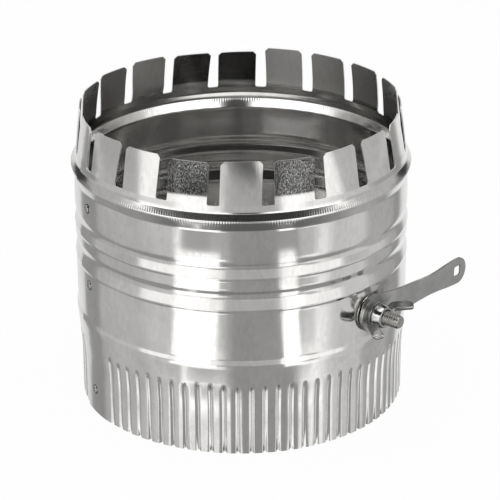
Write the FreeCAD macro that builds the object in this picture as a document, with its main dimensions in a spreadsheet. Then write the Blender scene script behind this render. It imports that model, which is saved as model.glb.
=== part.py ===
import FreeCAD, Part
import math
import os

import Sketcher
from FreeCAD import Placement, Rotation, Vector

# A galvanised starting collar with a damper, for a 6 in round branch duct.
# The collar stands on its crimped end with the bend-over tabs up.
# Origin: on the collar's axis in the plane of the crimped edge. +Z runs up the axis
# to the tabs. +X runs along the damper rod to the side with the lever. At rest the
# damper is closed (blade level) and the lever's tip points to +Y.
# Everything that sits on the rod is drawn about the X axis and lifted to the rod's
# height by its placement.

doc = FreeCAD.newDocument("starting_collar")
sheet = doc.addObject("Spreadsheet::Sheet", "sizes")

SIZES = [
    # rolled wall: radii are steps from the body, heights follow one another upwards
    ("body_radius", 76.2, "outer radius of the 6 in wall"),
    ("sheet_thickness", 0.5, "galvanised sheet"),
    ("crimp_length", 33.0, "height of the flutes"),
    ("crimp_fade", 1.5, "height over which the wall widens above the flutes"),
    ("crimp_step", 1.3, "the flute crests lie this far inside the body"),
    ("flank_height", 8.0, "flank under the stop ridge"),
    ("flank_step", 0.3, "the flank's foot lies this far inside the body"),
    ("stop_rise", 0.5, "stop ridge that the duct meets"),
    ("stop_band", 5.6, "height of the band above the stop ridge"),
    ("lower_band", 22.3, "plain band that the damper rod goes through"),
    ("groove_depth", 0.9, "depth of the rolled grooves"),
    ("lower_groove_fall", 6.4, "height of the lower groove's upward face"),
    ("lower_groove_return", 3.6, "height of the lower groove's downward face"),
    ("middle_band", 5.0, "plain band between the grooves"),
    ("upper_groove_fall", 5.1, "height of the upper groove's upward face"),
    ("upper_groove_return", 3.5, "height of the upper groove's downward face"),
    ("upper_band", 14.6, "plain band under the bead"),
    ("bead_rise", 1.5, "the V bead's crest stands this far out of the body"),
    ("bead_lower_height", 4.7, "height of the bead's lower face"),
    ("bead_upper_height", 3.5, "height of the bead's upper face"),
    ("neck_step", 0.6, "the neck lies this far inside the body"),
    ("neck_height", 3.0, "neck that sits in the plenum's hole"),
    # tabs
    ("tab_count", 20, "bend-over tabs"),
    ("tab_length", 19.2, "slot floor to tab tip"),
    ("tab_lean", 3.1, "the tips lean in this far from the neck"),
    ("first_tab", -49.5, "azimuth of one tab's middle, degrees"),
    ("slot_width", 5.6, "width of the slots between the tabs"),
    ("slot_corner", 0.9, "cut corner at the slot floor"),
    ("tab_corner", 1.5, "cut corner at the tab tips"),
    # crimped end
    ("flute_count", 78, "flutes round the crimped end"),
    ("flute_depth", 1.2, "depth of a flute"),
    ("flute_gap", 2.0, "width of a flute at the crests"),
    # lap seam
    ("lap_start", 240.5, "azimuth of the lap's hidden edge, degrees"),
    ("lap_angle", 12.0, "width of the lap, degrees"),
    ("lap_rise", 0.45, "step of the outer sheet at the lap"),
    ("seam_inset", 6.3, "rivet line from the lap's hidden edge, degrees"),
    ("seam_bottom", 11.3, "height of the bottom rivet above the crimped edge"),
    ("seam_middle_drop", 6.2, "the middle rivet sits this far under the lower groove"),
    ("seam_top_drop", 6.9, "the top rivet sits this far under the bead"),
    ("seam_shank", 1.5, "radius of a seam rivet's shank"),
    ("seam_head", 2.3, "radius of a seam rivet's head"),
    ("seam_head_height", 0.9, "height of the outside head"),
    ("seam_upset_height", 0.6, "height of the inside head"),
    # damper rod, outside
    ("washer_margin", 0.5, "gap between the lever's washer and the stop band"),
    ("stud_radius", 3.175, "1/4 in threaded stud"),
    ("stud_stickout", 6.6, "the stud stands this far out of the nut"),
    ("stud_tip_chamfer", 0.7, "chamfer at the stud's end"),
    ("square_width", 5.0, "square on the stud that carries the lever"),
    ("running_clearance", 0.075, "radial clearance of a turning fit"),
    ("rivet_clearance", 0.02, "radial clearance of a closed rivet"),
    ("seat_gap", 0.1, "gap between faces that turn on each other"),
    ("outer_washer_thickness", 1.1, "washer under the lever"),
    ("outer_washer_radius", 8.9, "washer under the lever"),
    ("lock_washer_thickness", 1.6, "split washer"),
    ("lock_washer_radius", 5.9, "split washer"),
    ("lock_washer_split", 1.2, "gap in the split washer"),
    # lever: widths are full widths, stations follow one another along it
    ("lever_thickness", 1.0, "strip"),
    ("lever_joggle", 2.0, "outward step of the strip"),
    ("lobe_radius", 9.5, "round end over the washer"),
    ("lobe_offset", 2.5, "the round end's centre lies behind the rod"),
    ("lobe_share", 0.84, "the round end turns into the strip at this part of its radius"),
    ("joggle_step", 4.0, "round end to the start of the outward step"),
    ("joggle_length", 5.0, "length of the outward step"),
    ("neck_along", 9.5, "outward step to the strip's neck"),
    ("neck_width", 11.5, "width there"),
    ("waist_along", 15.0, "neck to waist"),
    ("waist_width", 9.6, "width there"),
    ("tip_along", 19.0, "waist to the widest part of the tip"),
    ("tip_width", 12.8, "width there"),
    ("tip_length", 9.0, "from there to the end"),
    ("tip_corner", 3.0, "corner radius of the tip"),
    ("tip_hole", 5.0, "square hole near the tip"),
    ("tip_hole_inset", 6.5, "centre of that hole from the end"),
    # wing nut
    ("nut_boss_radius", 5.6, "boss at the washer"),
    ("nut_top_radius", 4.7, "boss at its outer end"),
    ("nut_boss_height", 6.0, "height of the boss"),
    ("wing_span", 27.0, "over both wings"),
    ("wing_thickness", 2.6, "wing"),
    ("wing_root_height", 4.4, "width of a wing at the boss"),
    ("wing_lean", 5.0, "the wings lean outwards"),
    ("wing_tip_height", 6.6, "width of a wing at its tip"),
    ("wing_turn", 17.0, "the wings' line above +Y, degrees"),
    # damper blade and the stud's inner end
    ("blade_gap", 1.3, "gap between blade and wall"),
    ("blade_thickness", 0.8, "blade"),
    ("tang_thickness", 2.2, "flat tang of the stud"),
    ("tang_width", 12.0, "flat tang of the stud"),
    ("tang_length", 35.0, "flat tang of the stud"),
    ("shoulder_radius", 4.6, "shoulder that holds the inner washer"),
    ("shoulder_thickness", 1.2, "shoulder"),
    ("inner_washer_radius", 8.0, "washer against the wall's inside"),
    ("washer_thickness", 1.0, "inner washer and end washer"),
    ("blade_trim", 0.4, "gap between the trimmed blade and the shoulder"),
    ("rib_offset", 30.0, "the ribs' distance from the rod"),
    ("rib_margin", 25.4, "the ribs end this far inside the blade's radius"),
    ("rib_radius", 4.0, "outside radius of a rib's section"),
    ("rib_rise", 1.8, "height of a rib above the blade"),
    ("plate_thickness", 1.0, "backing plate"),
    ("plate_width", 16.0, "backing plate"),
    ("plate_margin", 3.0, "gap between backing plate and shoulder"),
    ("drive_rivet_step", 8.0, "tang's end to the inner drive rivet"),
    ("drive_rivet_pitch", 16.0, "distance between the drive rivets"),
    ("rivet_radius", 1.6, "rivets in the blade"),
    ("rivet_head_radius", 3.0, "heads of the rivets in the blade"),
    ("rivet_head_height", 1.0, "heads of the rivets in the blade"),
    # far end: housing and sprung pin
    ("pin_radius", 2.4, "end pin"),
    ("pin_reach", 3.0, "the pin stands this far out of the wall"),
    ("pin_tail", 4.0, "the pin stands this far out of the housing's inner end"),
    ("pin_travel", 4.0, "the pin can be pushed in this far"),
    ("pin_flange_radius", 4.2, "flange that the spring pushes"),
    ("pin_flange_thickness", 1.2, "flange that the spring pushes"),
    ("housing_gap", 4.7, "gap between housing and wall"),
    ("housing_length", 13.0, "length of the housing"),
    ("housing_sheet", 1.0, "sheet of the housing"),
    ("housing_side_gap", 1.3, "gap between the pin's flange and the housing's sides"),
    ("housing_roof_gap", 0.2, "gap between the pin's flange and the housing's roof"),
    ("ear_depth", 1.6, "the ears reach this far past the pin"),
    ("flange_width", 7.5, "flanges of the housing on the blade"),
    ("notch_margin", 0.5, "gap between the blade's notch and the ears"),
    ("end_washer_radius", 5.0, "washer between housing and wall"),
    ("spring_wire", 0.7, "wire diameter"),
    ("spring_gap", 0.4, "gap between pin and coil"),
    ("spring_turns", 4.5, "turns"),
]

for row, (alias, value, meaning) in enumerate(SIZES, start=1):
    sheet.set("A%d" % row, meaning)
    sheet.set("B%d" % row, str(value))
    sheet.setAlias("B%d" % row, alias)
doc.recompute()


class Size:
    """A length together with the sheet expression that gives it."""

    def __init__(self, text, value):
        self.text = text
        self.value = value

    def join(self, sign, other, value):
        return Size("(%s %s %s)" % (self.text, sign, as_size(other).text), value)

    def __add__(self, other):
        return self.join("+", other, self.value + as_size(other).value)

    def __sub__(self, other):
        return self.join("-", other, self.value - as_size(other).value)

    def __mul__(self, other):
        return self.join("*", other, self.value * as_size(other).value)

    def __truediv__(self, other):
        return self.join("/", other, self.value / as_size(other).value)

    def __neg__(self):
        return Size("(0 - %s)" % self.text, -self.value)


def as_size(number):
    """A plain number as a size, a size as it is."""
    if isinstance(number, Size):
        return number
    return Size("%.6g" % number, float(number))


def cell(alias):
    """The size in the sheet that has this name."""
    return Size("sizes.%s" % alias, float(sheet.get(alias)))


def number(alias):
    """The plain number of a size in the sheet."""
    return float(sheet.get(alias))


def bind(thing, prop, size):
    """Tie a property of a document object to the sheet."""
    thing.setExpression(prop, as_size(size).text)


# Radii and heights of the wall, each derived once
flank_radius = cell("body_radius") - cell("flank_step")
stop_radius = cell("body_radius") + cell("stop_rise")
groove_radius = cell("body_radius") - cell("groove_depth")
bead_radius = cell("body_radius") + cell("bead_rise")
neck_radius = cell("body_radius") - cell("neck_step")
tab_tip_radius = neck_radius - cell("tab_lean")
crest_radius = cell("body_radius") - cell("crimp_step")
flank_start = cell("crimp_length") + cell("crimp_fade")
stop_height = flank_start + cell("flank_height")
band_start = stop_height + cell("stop_band")
lower_groove = band_start + cell("lower_band")
lower_floor = lower_groove + cell("lower_groove_fall")
middle_start = lower_floor + cell("lower_groove_return")
upper_groove = middle_start + cell("middle_band")
upper_floor = upper_groove + cell("upper_groove_fall")
upper_start = upper_floor + cell("upper_groove_return")
bead_start = upper_start + cell("upper_band")
bead_height = bead_start + cell("bead_lower_height")
neck_start = bead_height + cell("bead_upper_height")
slot_floor = neck_start + cell("neck_height")
total_height = slot_floor + cell("tab_length")
rod_height = band_start + cell("outer_washer_radius") + cell("washer_margin")
seam_angle = cell("lap_start") + cell("seam_inset")
seam_middle = lower_groove - cell("seam_middle_drop")
seam_top = bead_start - cell("seam_top_drop")

# Stations along the rod, each derived once
wall_outside = cell("body_radius")
wall_inside = wall_outside - cell("sheet_thickness")
washer_start = wall_outside + cell("seat_gap")
lever_start = washer_start + cell("outer_washer_thickness") + cell("seat_gap")
lock_start = lever_start + cell("lever_thickness")
nut_start = lock_start + cell("lock_washer_thickness") + cell("seat_gap")
stud_end = nut_start + cell("nut_boss_height") + cell("stud_stickout")
blade_top = -(cell("tang_thickness") / 2)
blade_bottom = blade_top - cell("blade_thickness")
plate_bottom = blade_bottom - cell("plate_thickness")
blade_radius = wall_inside - cell("blade_gap")
housing_outer = wall_inside - cell("housing_gap")
housing_inner = housing_outer - cell("housing_length")
housing_inside_half = cell("pin_flange_radius") + cell("housing_side_gap")
housing_half = housing_inside_half + cell("housing_sheet")
housing_top = (cell("pin_flange_radius") + cell("housing_roof_gap")
               + cell("housing_sheet"))
housing_bottom = cell("pin_radius") + cell("ear_depth")
pin_tail_end = housing_inner - cell("pin_tail")
pin_flange_station = housing_outer - cell("housing_sheet") - cell("seat_gap") / 2
end_rivet_along = housing_outer - cell("housing_length") / 2
end_rivet_side = housing_half + cell("flange_width") / 2


def washer_setback(radius):
    """How far inside the wall a flat washer of this radius meets the curved wall."""
    inside = wall_inside.value
    value = inside - math.sqrt(inside ** 2 - number(radius) ** 2)
    text = "({0} - sqrt({0} ^ 2 - sizes.{1} ^ 2))".format(wall_inside.text, radius)
    return Size(text, value)


inner_washer_start = (wall_inside - washer_setback("inner_washer_radius")
                      - cell("washer_thickness") - 0.01)
shoulder_start = inner_washer_start - cell("seat_gap") - cell("shoulder_thickness")
tang_start = shoulder_start - cell("tang_length")
blade_end = shoulder_start - cell("blade_trim")
plate_end = shoulder_start - cell("plate_margin")
drive_rivet_in = tang_start + cell("drive_rivet_step")
drive_rivet_out = drive_rivet_in + cell("drive_rivet_pitch")
end_washer_outer = wall_inside - washer_setback("end_washer_radius") - 0.01


def lift(thing):
    """Raise a piece that was drawn about the X axis to the rod's height."""
    bind(thing, "Placement.Base.z", rod_height)
    return thing


def named(thing, label):
    """Give a finished piece its name."""
    thing.Label = label
    return thing


def rod(name, start, length, radius, end_radius=None):
    """A cylinder, or a cone frustum, lying along +X from a station."""
    kind = "Part::Cylinder" if end_radius is None else "Part::Cone"
    solid = doc.addObject(kind, name)
    solid.Placement = Placement(Vector(0, 0, 0), Rotation(Vector(0, 1, 0), 90))
    bind(solid, "Placement.Base.x", start)
    bind(solid, "Height", length)
    if end_radius is None:
        bind(solid, "Radius", radius)
    else:
        bind(solid, "Radius1", radius)
        bind(solid, "Radius2", end_radius)
    return solid


def post(name, x, y, start, length, radius, end_radius=None):
    """A cylinder, or a cone frustum, standing along +Z at a point of the blade."""
    kind = "Part::Cylinder" if end_radius is None else "Part::Cone"
    solid = doc.addObject(kind, name)
    bind(solid, "Placement.Base.x", x)
    bind(solid, "Placement.Base.y", y)
    bind(solid, "Placement.Base.z", start)
    bind(solid, "Height", length)
    if end_radius is None:
        bind(solid, "Radius", radius)
    else:
        bind(solid, "Radius1", radius)
        bind(solid, "Radius2", end_radius)
    return solid


def block(name, x_range, y_range, z_range):
    """A box between two stations on each axis."""
    solid = doc.addObject("Part::Box", name)
    for axis, prop, (low, high) in zip("xyz", ("Length", "Width", "Height"),
                                       (x_range, y_range, z_range)):
        bind(solid, "Placement.Base.%s" % axis, low)
        bind(solid, prop, as_size(high) - as_size(low))
    return solid


def fuse(name, solids):
    """One solid from several."""
    joined = doc.addObject("Part::MultiFuse", name)
    joined.Shapes = solids
    joined.Refine = True
    return joined


def cut(name, base, tools):
    """A solid with other solids taken away."""
    result = doc.addObject("Part::Cut", name)
    result.Base = base
    result.Tool = tools[0] if len(tools) == 1 else fuse(name + "_tools", tools)
    return result


def common(name, first, second):
    """What two solids share."""
    result = doc.addObject("Part::MultiCommon", name)
    result.Shapes = [first, second]
    return result


def new_body(name):
    """A PartDesign body."""
    return doc.addObject("PartDesign::Body", name)


def origin_part(body, role):
    """A plane or an axis of the body's own origin."""
    return [item for item in body.Origin.OriginFeatures if item.Role == role][0]


def new_sketch(body, name, role):
    """A sketch on one of the body's own origin planes."""
    sketch = body.newObject("Sketcher::SketchObject", name)
    sketch.AttachmentSupport = (origin_part(body, role), "")
    sketch.MapMode = "FlatFace"
    return sketch


def pin_down(sketch, kind, size, *where):
    """One dimension of a sketch, tied to the sheet."""
    index = sketch.addConstraint(Sketcher.Constraint(kind, *where, size.value))
    sketch.setExpression("Constraints[%d]" % index, size.text)


def draw_outline(sketch, corners):
    """A closed outline, drawn counterclockwise. Each corner is (x, y) or (x, y, radius);
    a radius makes the side that leaves the corner an arc that bulges outwards."""
    first = sketch.GeometryCount
    count = len(corners)
    points = [Vector(as_size(c[0]).value, as_size(c[1]).value, 0) for c in corners]
    for i, corner in enumerate(corners):
        start, end = points[i], points[(i + 1) % count]
        if len(corner) == 2:
            side = Part.LineSegment(start, end)
        else:
            radius = as_size(corner[2]).value
            chord = end - start
            bulge = radius - math.sqrt(max(radius ** 2 - chord.Length ** 2 / 4, 0))
            outward = Vector(chord.y, -chord.x, 0).normalize()
            side = Part.Arc(start, (start + end) * 0.5 + outward * bulge, end)
        sketch.addGeometry(side, False)
    for i in range(count):
        sketch.addConstraint(Sketcher.Constraint(
            "Coincident", first + i, 2, first + (i + 1) % count, 1))
    for i, corner in enumerate(corners):
        pin_down(sketch, "DistanceX", as_size(corner[0]), first + i, 1)
        pin_down(sketch, "DistanceY", as_size(corner[1]), first + i, 1)
        if len(corner) == 3:
            pin_down(sketch, "Radius", as_size(corner[2]), first + i)


def add_pad(body, name, sketch, thickness):
    """Material on both sides of a sketch, this thick in all."""
    pad = body.newObject("PartDesign::Pad", name)
    pad.Profile = sketch
    pad.SideType = "Symmetric"
    bind(pad, "Length", thickness)
    body.Tip = pad
    return pad


def add_pocket(body, name, sketch, depth):
    """A cut on both sides of a sketch, this deep in all."""
    pocket = body.newObject("PartDesign::Pocket", name)
    pocket.Profile = sketch
    pocket.SideType = "Symmetric"
    bind(pocket, "Length", depth)
    body.Tip = pocket
    return pocket


# The rolled sheet: wall, crimped end, tabs and lap are one piece of formed sheet, so its
# shape is made with solids of revolution and a fluted prism that read the sheet's sizes.


def wall_line(shift):
    """Corners (radius, height) of the wall above the crimps, moved outwards by shift."""
    body = cell("body_radius")
    line = [
        (crest_radius, cell("crimp_length")),
        (flank_radius, flank_start),
        (stop_radius, stop_height),
        (body, band_start),
        (body, lower_groove),
        (groove_radius, lower_floor),
        (body, middle_start),
        (body, upper_groove),
        (groove_radius, upper_floor),
        (body, upper_start),
        (body, bead_start),
        (bead_radius, bead_height),
        (neck_radius, neck_start),
        (neck_radius, slot_floor),
        (tab_tip_radius, total_height),
    ]
    return [(radius.value + shift, z.value) for radius, z in line]


def flat_face(points):
    """A face in the plane of the axis with these corners (radius, height)."""
    corners = [Vector(radius, 0, z) for radius, z in points]
    return Part.Face(Part.makePolygon(corners + corners[:1]))


def turned(points, angle=360.0):
    """The face through these corners swept about the collar's axis."""
    return flat_face(points).revolve(Vector(0, 0, 0), Vector(0, 0, 1), angle)


def plain_pitch(azimuth):
    """True where the lap leaves the crimped end unfluted."""
    start = number("lap_start")
    return -2.0 < (azimuth - start) % 360.0 < number("lap_angle") + 2.0


def fluted_prism(shift, bottom, top):
    """The crimped end as a solid prism: crests with V flutes between them."""
    crest = crest_radius.value + shift
    valley = crest - number("flute_depth")
    count = int(round(number("flute_count")))
    pitch = 2 * math.pi / count
    half_gap = number("flute_gap") / crest_radius.value / 2
    points = []
    for i in range(count):
        middle = i * pitch
        shape = [(crest, -half_gap), (valley, 0.0), (crest, half_gap)]
        if plain_pitch(math.degrees(middle)):
            shape = [(crest, -half_gap), (crest, half_gap)]
        for radius, offset in shape:
            points.append(Vector(radius * math.cos(middle + offset),
                                 radius * math.sin(middle + offset), bottom))
    face = Part.Face(Part.makePolygon(points + points[:1]))
    return face.extrude(Vector(0, 0, top - bottom))


def wall_solid(shift, low_end, high_end):
    """Everything inside the collar's outer face (shift 0) or inner face (shift -sheet).
    The turned part starts where the flutes end, one sheet higher on the inside, so that
    a floor of sheet closes each flute."""
    line = wall_line(shift)
    foot = line[0][1] - shift
    line[0] = (line[0][0], foot)
    tip_radius, tip_height = line[-1]
    if high_end > tip_height:
        line.append((tip_radius, high_end))
    body = turned([(0.0, foot)] + line + [(0.0, high_end)])
    return body.fuse(fluted_prism(shift, low_end, foot + number("crimp_fade") / 4))


def lap_flap():
    """The outer sheet of the lap, from the crimped edge over the bead to just short of
    the neck, which stays round for the plenum's hole."""
    bite = number("sheet_thickness") / 5
    line = [(crest_radius.value, 0.0)] + wall_line(0.0)[:-3]
    crest, crest_z = line[-1]
    line.append((crest + 0.7 * (neck_radius.value - crest),
                 crest_z + 0.7 * (neck_start.value - crest_z)))
    outer = [(radius + number("lap_rise"), z) for radius, z in line]
    inner = [(radius - bite, z) for radius, z in line]
    flap = turned(outer + inner[::-1], number("lap_angle"))
    flap.rotate(Vector(0, 0, 0), Vector(0, 0, 1), number("lap_start"))
    return flap


def slot_cutters():
    """The slots between the tabs, with cut corners at the floor and at the tips."""
    half = number("slot_width") / 2
    corner = number("slot_corner")
    tip = number("tab_corner")
    floor = slot_floor.value
    top = total_height.value
    inner = tab_tip_radius.value - 8.0
    outline = [(-half, floor + corner), (corner - half, floor), (half - corner, floor),
               (half, floor + corner), (half, top - tip), (half + tip, top),
               (half + tip, top + 2.0), (-half - tip, top + 2.0), (-half - tip, top),
               (-half, top - tip)]
    corners = [Vector(inner, y, z) for y, z in outline]
    cutter = Part.Face(Part.makePolygon(corners + corners[:1])).extrude(Vector(16.0, 0, 0))
    count = int(round(number("tab_count")))
    pitch = 360.0 / count
    cutters = []
    for i in range(count):
        one = cutter.copy()
        one.rotate(Vector(0, 0, 0), Vector(0, 0, 1),
                   number("first_tab") + (i + 0.5) * pitch)
        cutters.append(one)
    return cutters


def radial_hole(radius, azimuth, height):
    """A drill through the wall at an azimuth and a height."""
    inner = crest_radius.value - 8.0
    drill = Part.makeCylinder(radius, 16.0, Vector(inner, 0, height), Vector(1, 0, 0))
    drill.rotate(Vector(0, 0, 0), Vector(0, 0, 1), azimuth)
    return drill


def make_collar():
    """The formed sheet."""
    height = total_height.value
    outer = wall_solid(0.0, 0.0, height)
    inner = wall_solid(-number("sheet_thickness"), -1.0, height + 1.0)
    wall = outer.cut(inner).fuse(lap_flap())
    clearance = number("running_clearance")
    drills = [
        radial_hole(number("stud_radius") + clearance, 0.0, rod_height.value),
        radial_hole(number("pin_radius") + clearance, 180.0, rod_height.value),
    ]
    for height in (cell("seam_bottom"), seam_middle, seam_top):
        drills.append(radial_hole(number("seam_shank") + number("rivet_clearance"),
                                  seam_angle.value, height.value))
    wall = wall.cut(slot_cutters() + drills)
    collar = doc.addObject("Part::Feature", "collar_shell")
    collar.Shape = wall.Solids[0] if len(wall.Solids) == 1 else wall
    collar.Placement = Placement(Vector(0, 0, 0), Rotation())
    return named(collar, "collar_shell")


def make_seam_rivet(label, height, wall_radius):
    """A button-headed rivet through both sheets of the lap, drawn along +X."""
    inside = wall_radius - cell("sheet_thickness") - 0.04
    outside = wall_radius + cell("lap_rise")
    head = cell("seam_head")
    upset = cell("seam_upset_height")
    pieces = [
        rod(label + "_shank", inside - upset / 2, outside - inside + upset,
            cell("seam_shank")),
        rod(label + "_head", outside, cell("seam_head_height"), head, head * 0.6),
        rod(label + "_upset", inside - upset, upset, head * 0.7, head),
    ]
    rivet = fuse(label + "_rivet", pieces)
    rivet.Placement = Placement(Vector(0, 0, 0), Rotation(Vector(0, 0, 1), 90))
    bind(rivet, "Placement.Rotation.Angle", seam_angle)
    bind(rivet, "Placement.Base.z", height)
    return named(rivet, label)


def make_washer(label, start, thickness, radius, hole):
    """A flat washer on the rod's axis."""
    disc = rod(label + "_disc", start, thickness, radius)
    bore = rod(label + "_bore", start - 1, thickness + 2, hole)
    return lift(named(cut(label + "_ring", disc, [bore]), label))


def make_drive_stud():
    """Threaded stud with a square for the lever, a shoulder and a flat tang."""
    radius = cell("stud_radius")
    tip = cell("stud_tip_chamfer")
    shoulder_end = shoulder_start + cell("shoulder_thickness")
    half_tang = cell("tang_thickness") / 2
    half_width = cell("tang_width") / 2
    half_square = cell("square_width") / 2
    square_end = lock_start + 0.3
    square = common("stud_square",
                    block("stud_square_bar", (lever_start - 0.3, square_end),
                          (-half_square, half_square), (-half_square, half_square)),
                    rod("stud_square_round", lever_start - 0.3,
                        square_end - lever_start + 0.3, radius))
    stud = fuse("drive_stud_parts", [
        rod("stud_journal", shoulder_end, lever_start - 0.3 - shoulder_end, radius),
        square,
        rod("stud_thread", square_end, stud_end - square_end - tip, radius),
        rod("stud_tip", stud_end - tip, tip, radius, radius - tip),
        rod("stud_shoulder", shoulder_start, cell("shoulder_thickness"),
            cell("shoulder_radius")),
        block("stud_tang", (tang_start, shoulder_start),
              (-half_width, half_width), (-half_tang, half_tang)),
    ])
    holes = [post("stud_hole_" + side, station, 0, -half_tang - 1,
                  cell("tang_thickness") + 2, cell("rivet_radius") + cell("rivet_clearance"))
             for side, station in (("in", drive_rivet_in), ("out", drive_rivet_out))]
    return lift(named(cut("drive_stud_solid", stud, holes), "drive_stud"))


def make_lever():
    """The flat strip of the lever: an edge view gives the step, a face view cuts the
    strip to its outline."""
    body = new_body("lever_body")
    thick = cell("lever_thickness")
    step = cell("lever_joggle")
    tail = cell("lobe_offset") + cell("lobe_radius") + 1
    lobe_y = cell("lobe_radius") * cell("lobe_share") - cell("lobe_offset")
    joggle_start = lobe_y + cell("joggle_step")
    joggle_end = joggle_start + cell("joggle_length")
    neck_y = joggle_end + cell("neck_along")
    waist_y = neck_y + cell("waist_along")
    tip_y = waist_y + cell("tip_along")
    end = tip_y + cell("tip_length")
    reach = end + 1
    edge = new_sketch(body, "lever_edge", "XY_Plane")
    draw_outline(edge, [
        (lever_start, -tail), (lever_start + thick, -tail),
        (lever_start + thick, joggle_start), (lever_start + thick + step, joggle_end),
        (lever_start + thick + step, reach), (lever_start + step, reach),
        (lever_start + step, joggle_end), (lever_start, joggle_start),
    ])
    side = cell("lobe_radius") + cell("tip_width")
    add_pad(body, "lever_strip", edge, side * 2)
    face = new_sketch(body, "lever_face", "YZ_Plane")
    draw_outline(face, [(-tail - 2, -side - 2), (reach + 2, -side - 2),
                        (reach + 2, side + 2), (-tail - 2, side + 2)])
    lobe_rise = number("lobe_radius") * math.sqrt(1 - number("lobe_share") ** 2)
    lobe_z = Size("(sizes.lobe_radius * sqrt(1 - sizes.lobe_share ^ 2))", lobe_rise)
    neck = cell("neck_width") / 2
    waist = cell("waist_width") / 2
    tip = cell("tip_width") / 2
    corner = cell("tip_corner")
    back = -(cell("lobe_offset") + cell("lobe_radius"))
    draw_outline(face, [
        (back, 0, cell("lobe_radius")), (lobe_y, -lobe_z),
        (neck_y, -neck), (waist_y, -waist), (tip_y, -tip),
        (end - corner, -tip, corner), (end, corner - tip),
        (end, tip - corner, corner), (end - corner, tip),
        (tip_y, tip), (waist_y, waist), (neck_y, neck),
        (lobe_y, lobe_z, cell("lobe_radius")),
    ])
    add_pocket(body, "lever_outline", face, stud_end * 2)
    holes = new_sketch(body, "lever_holes", "YZ_Plane")
    half = cell("square_width") / 2 + cell("running_clearance")
    draw_outline(holes, [(-half, -half), (half, -half), (half, half), (-half, half)])
    high = cell("tip_hole") / 2
    near = end - cell("tip_hole_inset") - high
    far = near + cell("tip_hole")
    draw_outline(holes, [(near, -high), (far, -high), (far, high), (near, high)])
    add_pocket(body, "lever_piercing", holes, stud_end * 2)
    return lift(named(body, "lever_handle"))


def make_lock_washer():
    """The split washer between lever and nut."""
    length = cell("lock_washer_thickness")
    disc = rod("lock_disc", lock_start, length, cell("lock_washer_radius"))
    bore = rod("lock_bore", lock_start - 1, length + 2,
               cell("stud_radius") + cell("running_clearance"))
    half = cell("lock_washer_split") / 2
    split = block("lock_split", (lock_start - 1, lock_start + length + 1),
                  (-half, half), (-(cell("lock_washer_radius") + 1), 0))
    return lift(named(cut("lock_ring", disc, [bore, split]), "lock_washer"))


def make_wing_nut():
    """A cold-formed wing nut: a turned boss with two wings that lean outwards."""
    body = new_body("nut_body")
    bore = cell("stud_radius") + cell("running_clearance")
    height = cell("nut_boss_height")
    boss = new_sketch(body, "nut_section", "XY_Plane")
    draw_outline(boss, [
        (nut_start, bore), (nut_start + height, bore),
        (nut_start + height, cell("nut_top_radius")),
        (nut_start + height / 3, cell("nut_boss_radius")),
        (nut_start, cell("nut_boss_radius")),
    ])
    turn = body.newObject("PartDesign::Revolution", "nut_boss")
    turn.Profile = boss
    turn.ReferenceAxis = (boss, ["H_Axis"])
    turn.Angle = 360
    body.Tip = turn
    root = bore + 0.5
    span = cell("wing_span") / 2
    lean = cell("wing_lean")
    low = nut_start + 0.6
    wings = new_sketch(body, "nut_wings", "XY_Plane")
    draw_outline(wings, [
        (low, root), (low + cell("wing_root_height"), root),
        (low + lean + cell("wing_tip_height"), span - 2.4, 2.6),
        (low + lean + cell("wing_tip_height") - 2.4, span),
        (low + lean + 1.6, span, 2.2), (low + lean, span - 2),
    ])
    draw_outline(wings, [
        (low + cell("wing_root_height"), -root), (low, -root),
        (low + lean, -span + 2, 2.2), (low + lean + 1.6, -span),
        (low + lean + cell("wing_tip_height") - 2.4, -span, 2.6),
        (low + lean + cell("wing_tip_height"), -span + 2.4),
    ])
    add_pad(body, "nut_wing_pad", wings, cell("wing_thickness"))
    body.Placement = Placement(Vector(0, 0, 0), Rotation(Vector(1, 0, 0), 10))
    bind(body, "Placement.Rotation.Angle", cell("wing_turn"))
    return lift(named(body, "wing_nut"))


def rib_bar(name, side, radius, inset):
    """A round bar parallel to the rod, the former of one pressed rib."""
    half = blade_radius - cell("rib_margin") - inset
    bar = rod(name, -half, half * 2, radius)
    bind(bar, "Placement.Base.y", cell("rib_offset") * side)
    bind(bar, "Placement.Base.z", blade_top + cell("rib_rise") - cell("rib_radius"))
    return bar


def make_blade():
    """The round blade with two pressed ribs, trimmed at the stud and notched at the pin."""
    thick = cell("blade_thickness")
    disc = post("blade_disc", 0, 0, blade_bottom, thick, blade_radius)
    raised = []
    hollows = []
    for tag, side in (("front", -1), ("rear", 1)):
        outside = rib_bar("rib_outside_" + tag, side, cell("rib_radius"), 0)
        slab = block("rib_slab_" + tag, (-blade_radius, blade_radius),
                     (-blade_radius, blade_radius),
                     (blade_bottom, blade_top + cell("rib_rise") + 1))
        raised.append(common("rib_crown_" + tag, outside, slab))
        hollows.append(rib_bar("rib_hollow_" + tag, side,
                               cell("rib_radius") - thick, thick))
    notch = housing_half - cell("notch_margin")
    notch_end = -(pin_tail_end - cell("pin_travel") - 2)
    low = blade_bottom - 1
    high = blade_top + 1
    cuts = hollows + [
        block("blade_trim_block", (blade_end, blade_radius + 1),
              (-blade_radius, blade_radius), (low, high)),
        block("blade_notch", (-blade_radius - 1, notch_end), (-notch, notch), (low, high)),
    ]
    hole = cell("rivet_radius") + cell("rivet_clearance")
    spots = [(drive_rivet_in, 0), (drive_rivet_out, 0),
             (-end_rivet_along, end_rivet_side), (-end_rivet_along, -end_rivet_side)]
    for i, (x, y) in enumerate(spots):
        cuts.append(post("blade_hole_%d" % i, x, y, low, thick + 2, hole))
    sheet_metal = fuse("blade_sheet", [disc] + raised)
    return lift(named(cut("blade_solid", sheet_metal, cuts), "damper_blade"))


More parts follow.
